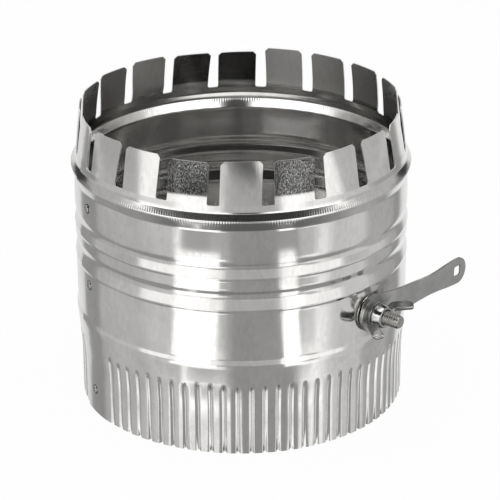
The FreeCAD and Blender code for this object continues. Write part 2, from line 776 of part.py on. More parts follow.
def make_drive_plate():
    """The backing plate under the blade."""
    half = cell("plate_width") / 2
    plate = block("plate_blank", (tang_start, plate_end), (-half, half),
                  (plate_bottom, blade_bottom))
    hole = cell("rivet_radius") + cell("rivet_clearance")
    holes = [post("plate_hole_" + side, station, 0, plate_bottom - 1,
                  cell("plate_thickness") + 2, hole)
             for side, station in (("in", drive_rivet_in), ("out", drive_rivet_out))]
    return lift(named(cut("plate_solid", plate, holes), "drive_plate"))


def make_rivet(label, x, y, low, high):
    """A rivet with two heads that holds the sheets between two heights together."""
    radius = cell("rivet_radius")
    head = cell("rivet_head_radius")
    rise = cell("rivet_head_height")
    pieces = [
        post(label + "_shank", x, y, low - rise / 2, high - low + rise, radius),
        post(label + "_head", x, y, high, rise, head, head * 0.6),
        post(label + "_foot", x, y, low - rise, rise, head * 0.7, head),
    ]
    return lift(named(fuse(label + "_rivet", pieces), label))


def make_housing():
    """The folded housing of the end pin: a channel with two ears, a roof and flanges."""
    outer = -housing_outer
    inner = -housing_inner
    thick = cell("housing_sheet")
    flange = housing_half + cell("flange_width")
    ear = housing_inside_half
    bottom = -housing_bottom
    blocks = [
        block("housing_roof", (outer, inner), (-housing_half, housing_half),
              (housing_top - thick, housing_top)),
        block("housing_ear_outer", (outer, outer + thick), (-ear, ear),
              (bottom, housing_top)),
        block("housing_ear_inner", (inner - thick, inner), (-ear, ear),
              (bottom, housing_top)),
        block("housing_wall_front", (outer, inner), (-housing_half, -ear),
              (blade_top, housing_top)),
        block("housing_wall_rear", (outer, inner), (ear, housing_half),
              (blade_top, housing_top)),
        block("housing_flange_front", (outer, inner), (-flange, -ear),
              (blade_top, blade_top + thick)),
        block("housing_flange_rear", (outer, inner), (ear, flange),
              (blade_top, blade_top + thick)),
    ]
    hole = cell("rivet_radius") + cell("rivet_clearance")
    tools = [rod("housing_bore", outer - 1, cell("housing_length") + 2,
                 cell("pin_radius") + cell("running_clearance"))]
    for tag, side in (("front", -1), ("rear", 1)):
        tools.append(post("housing_hole_" + tag, -end_rivet_along,
                          end_rivet_side * side, blade_top - 1, thick + 2, hole))
    return lift(named(cut("housing_solid", fuse("housing_sheet_metal", blocks), tools),
                      "end_bracket"))


def make_end_pin():
    """The sprung pin: round bar with a flange and a rounded tip outside the wall."""
    tip = -(cell("body_radius") + cell("pin_reach"))
    radius = cell("pin_radius")
    chamfer = radius / 3
    pin = fuse("pin_parts", [
        rod("pin_tip", tip, chamfer, radius * 0.6, radius),
        rod("pin_bar", tip + chamfer, -pin_tail_end - tip - chamfer, radius),
        rod("pin_flange", -pin_flange_station, cell("pin_flange_thickness"),
            cell("pin_flange_radius")),
    ])
    return lift(named(pin, "end_pin"))


def make_end_spring():
    """The coil spring round the pin, between its flange and the inner ear. The wire is
    followed in short straight steps with a six-sided section."""
    wire = number("spring_wire") / 2
    radius = number("pin_radius") + number("spring_gap") + wire
    slack = number("seat_gap") / 2
    start = -pin_flange_station.value + number("pin_flange_thickness") + wire + slack
    end = -housing_inner.value - number("housing_sheet") - wire - slack
    steps = int(round(12 * number("spring_turns")))
    sides = 6
    rings = []
    for i in range(steps + 1):
        turn = 2 * math.pi * number("spring_turns") * i / steps
        station = start + (end - start) * i / steps
        ring = []
        for k in range(sides):
            angle = 2 * math.pi * k / sides
            reach = radius + wire * math.cos(angle)
            ring.append(Vector(station + wire * math.sin(angle),
                               reach * math.cos(turn), reach * math.sin(turn)))
        rings.append(ring)
    faces = [Part.Face(Part.makePolygon(rings[0] + rings[0][:1])),
             Part.Face(Part.makePolygon(rings[-1] + rings[-1][:1]))]
    for near, far in zip(rings, rings[1:]):
        for k in range(sides):
            m = (k + 1) % sides
            for corner in ((near[k], near[m], far[m]), (near[k], far[m], far[k])):
                faces.append(Part.Face(Part.makePolygon(list(corner) + [corner[0]])))
    spring = doc.addObject("Part::Feature", "end_spring")
    spring.Shape = Part.makeSolid(Part.makeShell(faces))
    spring.Placement = Placement(Vector(0, 0, rod_height.value), Rotation())
    return named(spring, "end_spring")


def make_all():
    """Every piece of the object."""
    body = cell("body_radius")
    stud_bore = cell("stud_radius") + cell("running_clearance")
    pin_bore = cell("pin_radius") + cell("running_clearance")
    end_x = -end_rivet_along
    side_y = end_rivet_side
    flange_top = blade_top + cell("housing_sheet")
    tang_top = cell("tang_thickness") / 2
    thick = cell("washer_thickness")
    return [
        make_collar(),
        make_seam_rivet("seam_rivet_top", seam_top, body),
        make_seam_rivet("seam_rivet_middle", seam_middle, body),
        make_seam_rivet("seam_rivet_bottom", cell("seam_bottom"), crest_radius),
        make_drive_stud(),
        make_washer("outer_washer", washer_start, cell("outer_washer_thickness"),
                    cell("outer_washer_radius"), stud_bore),
        make_lever(),
        make_lock_washer(),
        make_wing_nut(),
        make_blade(),
        make_drive_plate(),
        make_rivet("drive_rivet_outer", drive_rivet_out, 0, plate_bottom, tang_top),
        make_rivet("drive_rivet_inner", drive_rivet_in, 0, plate_bottom, tang_top),
        make_washer("inner_washer", inner_washer_start, thick,
                    cell("inner_washer_radius"), stud_bore),
        make_housing(),
        make_end_pin(),
        make_end_spring(),
        make_rivet("end_rivet_front", end_x, -side_y, blade_bottom, flange_top),
        make_rivet("end_rivet_rear", end_x, side_y, blade_bottom, flange_top),
        make_washer("end_washer", -end_washer_outer, thick,
                    cell("end_washer_radius"), pin_bore),
    ]


pieces = make_all()
doc.recompute()

for item in doc.Objects:
    if "Invalid" in item.State or "Error" in item.State:
        raise RuntimeError("%s could not be built" % item.Label)
for piece in pieces:
    if piece.Shape.isNull() or not piece.Shape.isValid():
        raise RuntimeError("%s is not a valid solid" % piece.Label)

os.makedirs("parts", exist_ok=True)
for piece in pieces:
    piece.Shape.exportStep("parts/%s.step" % piece.Label)
    box = piece.Shape.BoundBox
    print("%-18s %9.1f mm3  x %.2f..%.2f  y %.2f..%.2f  z %.2f..%.2f  solids %d" % (
        piece.Label, piece.Shape.Volume, box.XMin, box.XMax, box.YMin, box.YMax,
        box.ZMin, box.ZMax, len(piece.Shape.Solids)))
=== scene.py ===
# %% [markdown]
# # A galvanised starting collar with a damper
# A starting collar joins a round branch duct to a plenum. Its solids come from the CAD
# part. This lesson dresses them: the rolled sheet gets its true crimps, grooves, bead
# and tabs, the hardware gets threads and soft edges, the spring gets a round wire, and
# every piece gets a metal that is made in the shader.

# %% Load the solids
import math

import bmesh
import bpy
import numpy as np
from mathutils import Matrix, Vector


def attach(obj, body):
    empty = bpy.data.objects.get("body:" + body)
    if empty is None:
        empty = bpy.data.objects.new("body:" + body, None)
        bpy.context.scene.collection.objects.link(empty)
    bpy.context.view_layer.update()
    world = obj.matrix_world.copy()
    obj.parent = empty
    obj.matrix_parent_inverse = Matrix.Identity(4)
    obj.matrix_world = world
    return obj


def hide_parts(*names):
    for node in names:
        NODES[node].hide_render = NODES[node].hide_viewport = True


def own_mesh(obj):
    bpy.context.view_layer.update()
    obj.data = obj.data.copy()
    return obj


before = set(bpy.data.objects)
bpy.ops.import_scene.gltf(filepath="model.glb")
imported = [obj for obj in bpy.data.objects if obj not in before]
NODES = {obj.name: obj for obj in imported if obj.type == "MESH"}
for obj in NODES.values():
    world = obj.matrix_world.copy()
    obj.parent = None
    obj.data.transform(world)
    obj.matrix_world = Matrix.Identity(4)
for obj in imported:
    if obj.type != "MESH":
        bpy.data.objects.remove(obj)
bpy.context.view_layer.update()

MM = 0.001
MERGE_M = 1e-6
DEGENERATE_M = 1e-7

# %% [markdown]
# ## Small helpers
# Every new piece is a grid of points worked out as one array. The first helper turns
# grids into a mesh and merges the points that neighbouring grids share, so that seams
# and poles are closed. A grid is a table of points: rows run one way over the surface,
# columns the other way.

# %% Meshes from grids


def grid_faces(rows, columns, first=0, wrap=False):
    """Quads between neighbouring rows and columns. Point (i, j) has the number
    first + i * columns + j. With wrap, the last column also joins the first."""
    last = columns if wrap else columns - 1
    i, j = np.meshgrid(np.arange(rows - 1), np.arange(last), indexing="ij")
    k = (j + 1) % columns
    a = first + i * columns + j
    b = first + i * columns + k
    return np.stack([a, b, b + columns, a + columns], axis=-1).reshape(-1, 4)


def zip_rows(low, high, low_first, high_first):
    """Triangles between two rows with different columns. Each side of the lower row
    takes as its apex the point of the upper row that lies above the side's middle, and
    the other way round."""
    low_mid = (low[1:] + low[:-1]) / 2
    high_mid = (high[1:] + high[:-1]) / 2
    apex = np.searchsorted(high_mid, low_mid)
    i = np.arange(len(low_mid))
    up = np.stack([low_first + i, low_first + i + 1, high_first + apex], axis=-1)
    apex = np.searchsorted(low_mid, high_mid, side="right")
    j = np.arange(len(high_mid))
    down = np.stack([high_first + j + 1, high_first + j, low_first + apex], axis=-1)
    return np.concatenate([up, down])


def mark_cut_edges(mesh):
    """Marks every edge that has one face as sharp, so that a sheet's cut edge stays
    crisp when the sheet gets its thickness."""
    used = np.empty(len(mesh.loops), np.int32)
    mesh.loops.foreach_get("edge_index", used)
    alone = np.bincount(used, minlength=len(mesh.edges)) == 1
    if alone.any():
        sharp = mesh.attributes.get("sharp_edge")
        if sharp is None:
            sharp = mesh.attributes.new("sharp_edge", "BOOLEAN", "EDGE")
        marked = np.zeros(len(mesh.edges), bool)
        sharp.data.foreach_get("value", marked)
        sharp.data.foreach_set("value", marked | alone)


def build(name, points, faces, body, material, replaces=(), smooth=35):
    """A mesh object in metres from points in millimetres. Points closer than a
    thousandth of a millimetre are merged."""
    mesh = bpy.data.meshes.new(name)
    mesh.from_pydata((np.asarray(points).reshape(-1, 3) * MM).tolist(), [],
                     [face for part in faces for face in part.tolist()])
    work = bmesh.new()
    work.from_mesh(mesh)
    bmesh.ops.remove_doubles(work, verts=work.verts, dist=MERGE_M)
    bmesh.ops.dissolve_degenerate(work, edges=work.edges, dist=DEGENERATE_M)
    work.to_mesh(mesh)
    work.free()
    mesh.materials.append(material)
    mesh.polygons.foreach_set("use_smooth", np.ones(len(mesh.polygons), bool))
    mesh.set_sharp_from_angle(angle=math.radians(smooth))
    mark_cut_edges(mesh)
    thing = bpy.data.objects.new(name, mesh)
    bpy.context.scene.collection.objects.link(thing)
    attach(thing, body)
    for node in replaces:
        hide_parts(node)
    print(name, len(mesh.polygons), "faces")
    return thing


# %% [markdown]
# ## Metals
# The collar is hot-dip galvanised sheet. The zinc freezes in crystals, the spangle, so
# the brightness changes a little from crystal to crystal. The rolling mill leaves fine
# lines along the sheet, which pull every reflection into streaks. The hardware is cold
# formed steel with a bright zinc plate, duller in its hollows. All of them are bare
# metal, so metallic stays at 1 and the look comes from roughness and a little bump.

# %% Colours and nodes


def linear(code):
    """An sRGB hex colour as linear red, green, blue and alpha: each part is divided by
    12.92 near black, and raised to the power 2.4 above that."""
    parts = [int(code[i:i + 2], 16) / 255 for i in (1, 3, 5)]
    return [p / 12.92 if p <= 0.04045 else ((p + 0.055) / 1.055) ** 2.4
            for p in parts] + [1.0]


def add_node(tree, kind, inputs=None, **settings):
    """One shader node with its options. Each input is a number, a colour, another
    node, which stands for its first output, or a socket."""
    item = tree.nodes.new("ShaderNode" + kind)
    for key, value in settings.items():
        setattr(item, key, value)
    for key, value in (inputs or {}).items():
        if isinstance(value, bpy.types.Node):
            value = value.outputs[0]
        if isinstance(value, bpy.types.NodeSocket):
            tree.links.new(value, item.inputs[key])
        else:
            item.inputs[key].default_value = value
    return item


def new_material(name):
    """An empty material, its tree and its Principled shader."""
    material = bpy.data.materials.new(name)
    material.use_nodes = True
    tree = material.node_tree
    shader = tree.nodes["Principled BSDF"]
    shader.inputs["Metallic"].default_value = 1.0
    return material, tree, shader


print("mid grey is", [round(part, 3) for part in linear("#808080")])

# %% Galvanised sheet

# cells a metre: clouds are 36 mm wide, mill lines 0.9 mm and bare grains 0.5 mm; real
# lines and grains are finer, but too fine to show in the picture
CLOUDS = 28.0
MILL_LINES = 1100.0
BARE_GRAINS = 2100.0
MILL_STRETCH = 0.03     # the lines' width over their length
MATT_EXTRA = 0.16       # roughness that weathering adds
BEAD_CREST_R = 77.7     # mm
BEAD_CREST_Z = 0.1133   # m
TOOTH_MM = 1.2


def galvanised(name, dark, light, rough, spangle_mm, streak_um, collar=False):
    """Zinc-coated sheet: faint crystals of spangle_mm, mill lines streak_um deep. The
    tone is a cloudy noise plus a little of each crystal's own random shade; it sets the
    colour, and light crystals are smoother than dark ones."""
    material, tree, shader = new_material(name)
    place = add_node(tree, "TexCoord").outputs["Object"]
    squeeze = add_node(tree, "Mapping", {"Vector": place, "Scale": (1.0, 1.0, 0.5)})
    crystal = add_node(tree, "TexVoronoi", {"Vector": squeeze,
                                            "Scale": 1000.0 / spangle_mm})
    shade = add_node(tree, "SeparateColor", {"Color": crystal.outputs["Color"]})
    cloud = add_node(tree, "TexNoise", {"Vector": place, "Scale": CLOUDS, "Detail": 4.0})
    tone = add_node(tree, "Math", {0: shade, 1: 0.15, 2: cloud},
                    operation="MULTIPLY_ADD")
    step = add_node(tree, "MapRange", {"Value": tone, 1: 0.35, 2: 0.8})
    colour = add_node(tree, "Mix", {0: step, 6: linear(dark), 7: linear(light)},
                      data_type="RGBA").outputs[2]
    dull = add_node(tree, "MapRange", {"Value": tone, 1: 0.35, 2: 0.8, 3: rough + 0.04,
                                       4: rough - 0.03}).outputs[0]
    stretch = add_node(tree, "Mapping", {"Vector": place,
                                         "Scale": (1.0, 1.0, MILL_STRETCH)})
    lines = add_node(tree, "TexNoise", {"Vector": stretch, "Scale": MILL_LINES,
                                        "Detail": 2.0})
    height = add_node(tree, "Math", {0: shade.outputs[1], 1: 0.1, 2: lines},
                      operation="MULTIPLY_ADD")
    if collar:
        height = knurl(tree, place, height)
        colour = bare_spangle(tree, place, colour)
        dull = matt_zinc(tree, dull)
    bump = add_node(tree, "Bump", {"Strength": 1.0, "Distance": streak_um * 1e-6,
                                   "Height": height})
    tree.links.new(colour, shader.inputs["Base Color"])
    tree.links.new(dull, shader.inputs["Roughness"])
    tree.links.new(bump.outputs[0], shader.inputs["Normal"])
    return material


def bare_spangle(tree, place, colour):
    """The colour where the mesh's bare_spangle value is 1: the skin-pass roll has missed
    the zinc there, and its grains, half a millimetre wide, are dark with a few bright."""
    mask = add_node(tree, "Attribute", attribute_name="bare_spangle").outputs["Fac"]
    squeeze = add_node(tree, "Mapping", {"Vector": place, "Scale": (1.0, 1.0, 0.6)})
    grain = add_node(tree, "TexNoise", {"Vector": squeeze, "Scale": BARE_GRAINS,
                                        "Detail": 4.0, "Roughness": 0.7})
    glint = add_node(tree, "MapRange", {"Value": grain, 1: 0.43, 2: 0.68, 3: 0.04,
                                        4: 0.55})
    dim = add_node(tree, "Mix", {0: mask, 2: 1.0, 3: glint})
    return add_node(tree, "VectorMath", {0: colour, 1: dim},
                    operation="MULTIPLY").outputs[0]


def matt_zinc(tree, dull):
    """The roughness, raised where the mesh's matt_zinc value is 1: the zinc has
    weathered there and mirrors more softly."""
    mask = add_node(tree, "Attribute", attribute_name="matt_zinc").outputs["Fac"]
    return add_node(tree, "Math", {0: mask, 1: MATT_EXTRA, 2: dull},
                    operation="MULTIPLY_ADD").outputs[0]


def knurl(tree, place, height):
    """The height with the bead roller's fine teeth: a sine wave round the axis that
    shows only near the bead's crest."""
    axes = add_node(tree, "SeparateXYZ", {"Vector": place})
    turn = add_node(tree, "Math", {0: axes.outputs["Y"], 1: axes.outputs["X"]},
                    operation="ARCTAN2")
    teeth = round(2 * math.pi * BEAD_CREST_R / TOOTH_MM)
    phase = add_node(tree, "Math", {0: turn, 1: float(teeth)}, operation="MULTIPLY")
    wave = add_node(tree, "Math", {0: phase}, operation="SINE")
    off = add_node(tree, "Math", {0: axes.outputs["Z"], 1: BEAD_CREST_Z},
                   operation="SUBTRACT")
    away = add_node(tree, "Math", {0: off}, operation="ABSOLUTE")
    near = add_node(tree, "MapRange", {"Value": away, 1: 0.0008, 2: 0.0022, 3: 2.5,
                                       4: 0.0})
    tooth = add_node(tree, "Math", {0: wave, 1: near}, operation="MULTIPLY")
    return add_node(tree, "Math", {0: tooth, 1: height}, operation="ADD").outputs[0]


SHEET = galvanised("galvanised_collar_sheet", "#CCCBC9", "#E1E0DE", 0.13, 1.6, 7.0, True)
BLADE = galvanised("galvanised_blade_sheet", "#B4B4B3", "#CECDCC", 0.13, 2.0, 5.0)

print(len(SHEET.node_tree.nodes), "nodes make the collar's zinc")

# %% Zinc-plated hardware

DULLING = 180.0         # cells a metre, 6 mm each

def plated(name, dark, light, rough, grain_mm, grain_um):
    """Bright zinc on cold-formed steel: cloudy dulling and a fine grain."""
    material, tree, shader = new_material(name)
    place = add_node(tree, "TexCoord").outputs["Object"]
    cloud = add_node(tree, "TexNoise", {"Vector": place, "Scale": DULLING, "Detail": 5.0})
    colour = add_node(tree, "Mix", {0: cloud, 6: linear(dark), 7: linear(light)},
                      data_type="RGBA")
    dull = add_node(tree, "MapRange", {"Value": cloud, 1: 0.3, 2: 0.7, 3: rough + 0.08,
                                       4: rough - 0.05})
    grain = add_node(tree, "TexNoise", {"Vector": place, "Scale": 1000.0 / grain_mm,
                                        "Detail": 2.0})
    bump = add_node(tree, "Bump", {"Strength": 1.0, "Distance": grain_um * 1e-6,
                                   "Height": grain})
    tree.links.new(colour.outputs[2], shader.inputs["Base Color"])
    tree.links.new(dull.outputs[0], shader.inputs["Roughness"])
    tree.links.new(bump.outputs[0], shader.inputs["Normal"])
    return material


NUT_METAL = plated("zinc_plated_cold_formed_nut", "#8A8B8B", "#D0CFCD", 0.15, 1.0, 30.0)
STUD_METAL = plated("zinc_plated_rolled_thread", "#8D8A87", "#C4C1BD", 0.21, 0.6, 20.0)
WASHER_METAL = plated("zinc_plated_pressed_washer", "#9FA09F", "#D6D6D4", 0.19, 1.0, 20.0)
LEVER_METAL = plated("zinc_plated_lever_strip", "#949492", "#C7C6C3", 0.36, 1.2, 30.0)
RIVET_METAL = plated("zinc_plated_rivet", "#8F8F8E", "#C9C8C5", 0.25, 1.2, 20.0)
WIRE_METAL = plated("drawn_spring_wire", "#6F7173", "#A9ABAD", 0.3, 0.5, 10.0)
CUT_EDGE = plated("sheared_sheet_edge", "#DEDEDC", "#F2F2F0", 0.5, 0.5, 5.0)
print(len(bpy.data.materials), "materials")

# %% [markdown]
# ## The rolled wall
# The collar is one strip of sheet rolled round until it overlaps itself by 12 degrees.
# Seen in section, its wall is a line of short straight and curved stretches. A section
# with rounded corners is enough: each corner is cut back and replaced by a few points
# on a curve, and the whole line is then swept round. The strip starts at the lap's outer
# edge, one sheet further out, and runs 372 degrees, so that its end lies under its start.

# %% Section of the wall

SHEET_MM = 0.5
BODY_R = 76.2
CREST_R = 74.9
NECK_R = 75.15
SLOT_FLOOR = 119.8
TOP = 139.0
ROD_Z = 57.5
WALL_FOOT = 35.6
LAP_START = 240.5
LAP_TURN = 372.0

# radius, height and corner radius in mm, from the flutes' end to the slot floor
SECTION = np.array([
    (75.92, 35.6, 0.0), (76.62, 42.8, 0.6), (76.66, 44.4, 0.4), (76.12, 46.8, 0.5),
    (76.2, 52.0, 4.0), (76.2, 69.6, 0.8), (76.52, 71.0, 0.35), (75.28, 77.2, 1.8),
    (76.2, 80.6, 0.7), (76.2, 84.9, 0.7), (76.5, 86.1, 0.35), (75.36, 91.0, 1.6),
    (76.2, 94.1, 1.6), (76.2, 99.5, 3.0), (75.92, 108.4, 0.6), (77.68, 113.3, 0.5),
    (75.6, 116.9, 0.7), (NECK_R, 119.8, 0.0)])


def rounded_line(corners, steps=4, support=0.0):
    """The line through the corners with each corner replaced by a parabola that starts
    and ends as far from the corner as the corner's radius, at least 0.25 mm away and
    at most 0.42 of the shorter side away. With a support distance, one more point on
    each side of the parabola keeps the shading of the straight stretch flat."""
    points = [corners[:1, :2]]
    for before, here, after in zip(corners[:-2], corners[1:-1], corners[2:]):
        back = before[:2] - here[:2]
        ahead = after[:2] - here[:2]
        back = back / np.hypot(*back), np.hypot(*back)
        ahead = ahead / np.hypot(*ahead), np.hypot(*ahead)
        reach = np.clip(here[2], 0.25, 0.42 * min(back[1], ahead[1]))
        t = np.linspace(0, 1, steps + 1)[:, None]
        start = here[:2] + back[0] * reach
        end = here[:2] + ahead[0] * reach
        curve = (1 - t) ** 2 * start + 2 * t * (1 - t) * here[:2] + t ** 2 * end
        if support:
            curve = np.concatenate([[start + back[0] * support], curve,
                                    [end + ahead[0] * support]])
        points.append(curve)
    points.append(corners[-1:, :2])
    return np.concatenate(points)


WALL = rounded_line(SECTION, 4, 0.12)
print("wall section has", len(WALL), "rows")

# %% Where the columns stand

TABS = 20
TAB_PITCH = 360.0 / TABS
TAB_R = 75.6
SLOT_MM = 5.6
SLOT_CORNER = 0.9
TAB_LENGTH = TOP - SLOT_FLOOR
VIEW_TURN = -49.5


def punched(turn):
    """Where the punch really hit: up to two degrees past the even pitch on the far
    side, none in front."""
    a = np.radians(turn - VIEW_TURN)
    return turn + 0.83 * (1 - np.cos(a)) + 0.6 * np.sin(a)


FIRST_TAB = 16
TAB_CENTRES = punched(VIEW_TURN + TAB_PITCH * np.arange(FIRST_TAB, FIRST_TAB + 22))
HALF_TAB = math.degrees((TAB_R * math.radians(TAB_PITCH) - SLOT_MM) / 2 / TAB_R)
FILLET = math.degrees(SLOT_CORNER / TAB_R)
ACROSS = np.linspace(-1, 1, 10)
FLUTES = 78
FLUTE_PITCH = 360.0 / FLUTES
FLUTE_STEPS = np.array([-3.0, -1.35, -1.1, -0.85, -0.3, -0.12, 0.12, 0.3, 0.85, 1.1, 1.35])


def inside(values):
    """The values that lie on the strip, with both of its ends added."""
    low, high = LAP_START, LAP_START + LAP_TURN
    too_near = 0.02
    values = values[(values > low + too_near) & (values < high - too_near)]
    return np.concatenate([[low], values, [high]])


tab_columns = (TAB_CENTRES[:, None] + ACROSS * (HALF_TAB + FILLET)).ravel()
UPPER = inside(np.sort(np.concatenate([tab_columns, TAB_CENTRES + TAB_PITCH / 2])))
flute_centres = FLUTE_PITCH * np.arange(50, 136)
LOWER = inside((flute_centres[:, None]
                + np.degrees(FLUTE_STEPS / CREST_R)).ravel())
print("columns", len(UPPER), "above and", len(LOWER), "over the flutes")

# %% From strip to space


def smooth_step(x):
    """0 below 0, 1 above 1 and an S curve between."""
    x = np.clip(x, 0, 1)
    return x * x * (3 - 2 * x)


def lap_lift(turn):
    """How far the strip stands out at an angle: one sheet and an air gap over the lap,
    then down to nothing over the next nine degrees."""
    air, ease = 0.02, 9.0
    lap_end = LAP_START + LAP_TURN - 360
    return (SHEET_MM + air) * (1 - smooth_step((turn - lap_end) / ease))


def waviness(turn, z):
    """Hand-rolled unevenness of a few hundredths of a millimetre: three slow waves
    round the wall that lean a little."""
    a = np.radians(turn)
    return (0.035 * np.sin(7 * a + z / 19) + 0.022 * np.sin(13 * a - z / 11 + 1.3)
            + 0.012 * np.sin(31 * a + z / 23 + 0.6))


def to_space(turn, radius, z):
    """A strip angle in degrees, a radius and a height as x, y, z."""
    a = np.radians(turn)
    return np.stack([radius * np.cos(a), radius * np.sin(a), z + 0 * a], axis=-1)


print("over the lap the strip stands out by", lap_lift(LAP_START), "mm")

# %% [markdown]
# ## The crimped end
# A crimping tool has pressed 78 narrow flutes into the lower edge, so that it slips into
# the next duct. Between the flutes the sheet keeps its wide, almost flat crests. A flute
# is a V across with flat flanks, and runs out at its top within a few millimetres. The
# depth of the V is one function of the distance from the nearest flute, and its run-out
# another of the height. The tool never bit quite the same, so depth and end vary.

# %% Flutes

FLUTE_DEPTH = 0.8
FLUTE_HALF = 1.18
FLUTE_ROWS = np.array([0.0, 0.7, 1.5, 2.6, 4.2, 9.0, 15.0, 20.0, 24.0, 27.0, 29.0, 30.4,
                       31.4, 32.2, 32.9, 33.5, 34.1, 34.7, WALL_FOOT])


def flute(turn):
    """How deep a flute is, 0 on a crest and 0.8 in its middle: a V whose point the
    square root rounds. There are no flutes at the lap, nor at the strip's ends."""
    gap = (turn / FLUTE_PITCH + 0.5) % 1 - 0.5
    off = np.abs(gap) * np.radians(FLUTE_PITCH) * CREST_R / FLUTE_HALF
    plain = (((turn - LAP_START) % 360 < 14.2) | (turn < LAP_START + 16)
             | (turn > LAP_START + 358))
    crease = 1.025 - np.sqrt(np.minimum(off, 1) ** 2 + 0.05)
    return np.where(plain, 0.0, np.clip(crease, 0, 1))


def bite(turn, n):
    """A number between -1 and 1 for each flute, another for each n: a sine times a
    cosine of the flute's number."""
    number = np.floor(turn / FLUTE_PITCH + 0.5) % FLUTES
    return np.sin(number * (2.4 + 1.7 * n) + n) * np.cos(number * 0.9 + 2 * n)


def crimped(turn, z):
    """Radius over the crimped end: the crest line, which widens from 20 mm up to 5 mm
    past the wall's foot, less the flute's depth, which is full up to the flute's top and
    gone 3.4 mm above it, and a little more at the open end."""
    crest = CREST_R + 1.17 * smooth_step((z - 20) / (WALL_FOOT + 5 - 20))
    top = 31.0 + 0.7 * bite(turn, 1)
    deep = FLUTE_DEPTH * (1 + 0.22 * bite(turn, 2)) + 0.35 * smooth_step((10 - z) / 10)
    depth = deep * (1 - smooth_step((z - top) / 3.4))
    mouth = 1 + 0.12 * smooth_step((3 - z) / 3)
    return crest - depth * mouth * flute(turn)


def make_wall():
    """The whole strip with its tabs as one grid mesh."""
    turn, z = np.meshgrid(LOWER, FLUTE_ROWS)
    radius = crimped(turn, z) + lap_lift(turn) + 0.5 * waviness(turn, z)
    edge = 0.55 * flute(turn) * (1 - smooth_step(z / 3))
    low = to_space(turn, radius, z + edge)
    turn, row = np.meshgrid(UPPER, np.arange(len(WALL)))
    z = WALL[row, 1]
    high = to_space(turn, WALL[row, 0] + lap_lift(turn) + waviness(turn, z)
                    * smooth_step((118 - z) / 6), z)
    points = [low.reshape(-1, 3), high.reshape(-1, 3)]
    faces = [grid_faces(len(FLUTE_ROWS), len(LOWER))]
    high_first = low.shape[0] * low.shape[1]
    faces.append(zip_rows(LOWER, UPPER, high_first - len(LOWER), high_first + len(UPPER)))
    faces.append(grid_faces(len(WALL) - 1, len(UPPER), high_first + len(UPPER)))
    first = high_first + high.shape[0] * high.shape[1]
    for number, centre in enumerate(TAB_CENTRES):
        tab = make_tab(number, centre)
        if tab is None:
            continue
        points.append(tab.reshape(-1, 3))
        faces.append(grid_faces(tab.shape[0], tab.shape[1], first))
        first += tab.shape[0] * tab.shape[1]
    return np.concatenate(points), faces


FLUTE_TURN, CREST_TURN = 360.0, 360.0 + FLUTE_PITCH / 2
print("15 mm up, the radius is", crimped(np.array([FLUTE_TURN, CREST_TURN]), 15.0).round(2),
      "mm in a flute and on a crest")

# %% [markdown]
# ## The tabs
# Slots cut down to the neck leave 20 tabs. Someone has handled them, so each leans in by
# its own amount and twists a little, and that is why each mirrors something else. A tab
# is a grid whose width is a function of the height: wider at its root, where the punch
# left round corners, and narrower in the last millimetre, where the corners are cut.

# %% Tabs

TIP_CUT = 1.5
TAB_ROWS = np.array([0.0, 0.15, 0.4, 0.9, 2.0, 3.2, 4.2, 5.2, 6.2, 8.0, 11.0, 14.0, 16.5,
                     TAB_LENGTH - TIP_CUT, TAB_LENGTH - 0.7, TAB_LENGTH])
# for each tab, counted round from the one that faces the camera: how far its tip has
# moved in, how much more on its right, how far sideways (mm), and its fold's height
TAB_BENDS = np.array([
    (4.8, 0.6, 0.7, 1.0), (3.3, -0.2, 0.9, 3.5), (5.2, 0.8, 1.6, 1.5),
    (4.6, -1.0, 1.2, 1.5), (3.5, 0.4, 0.3, 2.0), (2.5, -0.4, 0.5, 2.0),
    (1.1, -0.5, 1.5, 2.0), (-0.2, -0.2, 2.0, 3.0), (-0.8, -0.6, 1.5, 4.0),
    (-1.6, 0.2, 1.0, 3.0), (3.6, 1.1, -0.3, 1.5), (3.4, -1.1, -0.7, 1.5),
    (0.9, -1.0, -1.2, 4.5), (0.9, -1.2, -1.0, 4.0), (1.8, -0.8, -1.0, 3.0),
    (2.0, 0.5, -0.4, 2.0), (2.5, -0.6, 0.3, 2.0), (4.4, 1.5, -0.9, 1.5),
    (4.4, 0.7, -0.6, 1.5), (1.6, 0.0, 0.9, 3.5)])
# the tabs, by the same count, whose zinc is bare or matt, and those bent most at the root
BARE_TABS = (1, 10, 11, 19)
MATT_TABS = (6, 7, 8, 9, 12, 13, 14)
STEEP_ROOTS = (1, 12, 19)
STEEP = 0.23
BOW = 0.12


def tab_half_width(s):
    """Half width in mm at height s over the slot floor: the even part, plus a quarter
    circle at the root, less what the cut at the tip takes."""
    half = math.radians(HALF_TAB) * TAB_R
    root = np.clip(SLOT_CORNER - s, 0, SLOT_CORNER)
    corner = SLOT_CORNER - np.sqrt(np.maximum(SLOT_CORNER ** 2 - root ** 2, 0))
    return half + corner - np.clip(s - (TAB_LENGTH - TIP_CUT), 0, TIP_CUT)


def tab_inward(s, tip, fold, steep):
    """How far a tab has moved in at height s. Below its fold it leans by 13 degrees, or
    less for a tab that hardly leans; above it, it runs almost straight, with a slight
    bow, to where its tip is. A curve two millimetres high joins the two."""
    root_slope = min(STEEP, 0.05 + 0.06 * abs(tip)) * (1 if tip > 0 else -1)
    if steep:
        root_slope = STEEP
    root = root_slope * fold
    slope = (tip - root) / (TAB_LENGTH - fold)
    past = np.maximum(s - fold, 0)
    blend = 0.5 * (slope - root_slope) * np.where(np.abs(s - fold) < 1,
                                                  (1 - np.abs(s - fold)) ** 2 / 2, 0)
    bow = BOW * np.sin(math.pi * past / (TAB_LENGTH - fold))
    return root_slope * np.minimum(s, fold) + slope * past + blend - bow


